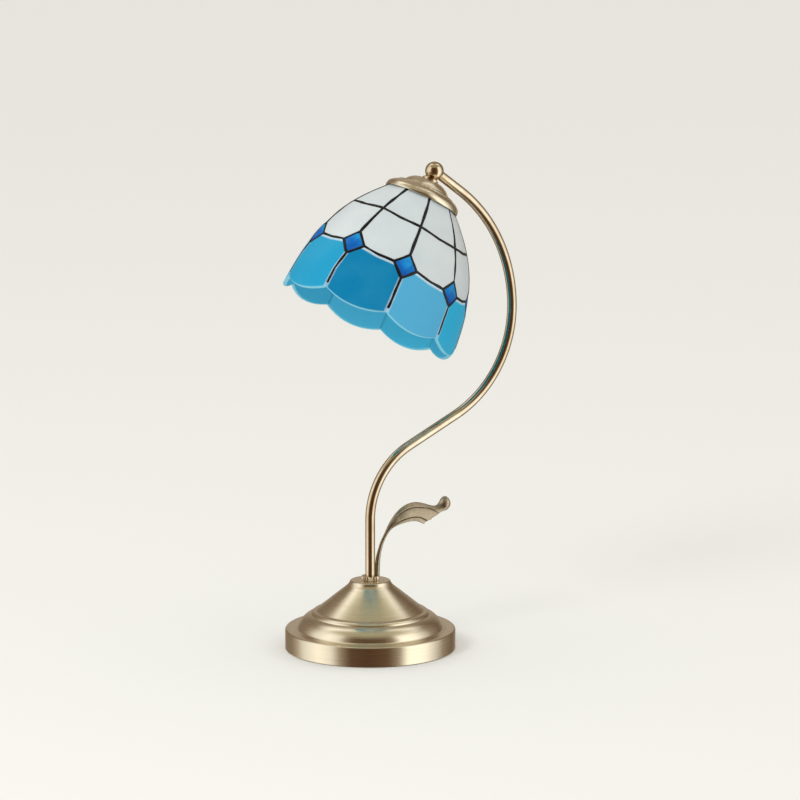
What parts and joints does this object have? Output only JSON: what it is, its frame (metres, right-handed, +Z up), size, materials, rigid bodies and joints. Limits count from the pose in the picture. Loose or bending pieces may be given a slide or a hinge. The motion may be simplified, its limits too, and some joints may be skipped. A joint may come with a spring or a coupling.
{
  "type": "table lamp",
  "caption": "Table lamp with a weighted stepped base, a swan-neck tube arm, a cast leaf and a painted, scalloped glass shade on a turning head.",
  "frame": {"origin": "middle of the base's underside, on the table", "axes": "+Z up, +X towards the bow of the arm, the shade leans towards -X"},
  "size_m": [0.2098, 0.1497, 0.397],
  "materials": {
    "spun_brass": "antique brass plate on spun steel, circularly brushed, satin lacquer",
    "drawn_brass": "antique brass plate, polished",
    "cast_leaf": "aged brass plate on a casting, satin",
    "cast_iron": "as cast, painted",
    "zinc_steel": "zinc plated",
    "cover_steel": "black painted sheet",
    "felt_pad": "black needle felt",
    "bushing_black": "moulded nylon",
    "holder_black": "moulded phenolic",
    "insert_white": "fired steatite",
    "contact_brass": "bright stamped brass",
    "lead_brown": "insulated lead",
    "lead_blue": "insulated lead",
    "crimp_clear": "moulded nylon crimp",
    "painted_glass": "frosted moulded glass, hand painted outside",
    "silicone": "silicone washer",
    "opal_glass": "opal coated inside",
    "lamp_nickel": "nickel plated",
    "lamp_glaze": "vitrite"
  },
  "bodies": {
    "stand": {"base_shell": "spun_brass", "base_weight": "cast_iron", "base_plate": "cover_steel", "base_pad": "felt_pad", "weight_washer": "zinc_steel", "weight_nut": "zinc_steel", "cord_inlet_bushing": "bushing_black", "threaded_stem": "zinc_steel", "foot_collar": "drawn_brass", "arm_tube": "drawn_brass", "leaf": "cast_leaf", "live_lead": "lead_brown", "neutral_lead": "lead_blue", "lead_splices": "crimp_clear"},
    "ball": {"arm_ball": "drawn_brass"},
    "head": {"ball_neck": "drawn_brass", "head_nipple": "zinc_steel", "holder_cap": "spun_brass", "cap_lock_washer": "zinc_steel", "cap_nut": "zinc_steel", "holder_dome": "holder_black", "holder_skirt": "holder_black", "socket_insert": "insert_white", "screw_shell": "contact_brass", "centre_contact": "contact_brass", "terminal_screws": "contact_brass", "head_live_lead": "lead_brown", "head_neutral_lead": "lead_blue"},
    "shade": {"glass_shade": "painted_glass", "shade_gasket": "silicone"},
    "ring": {"shade_ring": "holder_black"},
    "lamp_tip": {"bulb_contact": "lamp_nickel"},
    "lamp": {"bulb_insulator": "lamp_glaze", "bulb_screw_cap": "lamp_nickel", "bulb_globe": "opal_glass"}
  },
  "joints": [
    {"name": "ball_turn", "type": "hinge", "parent": "stand", "child": "ball", "pos_m": [0.06073, 0, 0.38939], "axis": [-0.8098, 0, 0.5867], "range_deg": [-30, 30]},
    {"name": "head_swivel", "type": "hinge", "parent": "ball", "child": "head", "pos_m": [0.06073, 0, 0.38939], "axis": [-0.4761, 0, -0.8794], "range_deg": [-160, 160]},
    {"name": "shade_drop", "type": "slide", "parent": "head", "child": "shade", "axis": [-0.4761, 0, -0.8794], "range_m": [0, 0.0125]},
    {"name": "ring_turn", "type": "hinge", "parent": "shade", "child": "ring", "pos_m": [0.06073, 0, 0.38939], "axis": [-0.4761, 0, -0.8794], "range_deg": [0, 1800]},
    {"name": "lamp_travel", "type": "slide", "parent": "head", "child": "lamp_tip", "axis": [-0.4761, 0, -0.8794], "range_m": [0, 0.01452]},
    {"name": "lamp_turn", "type": "hinge", "parent": "lamp_tip", "child": "lamp", "pos_m": [0.06073, 0, 0.38939], "axis": [-0.4761, 0, -0.8794], "range_deg": [0, 1440]}
  ],
  "couplings": [
    {"joint": "ring_turn", "follows": "shade_drop", "rad_per_m": 2513.3},
    {"joint": "lamp_turn", "follows": "lamp_travel", "rad_per_m": 1730.9}
  ]
}
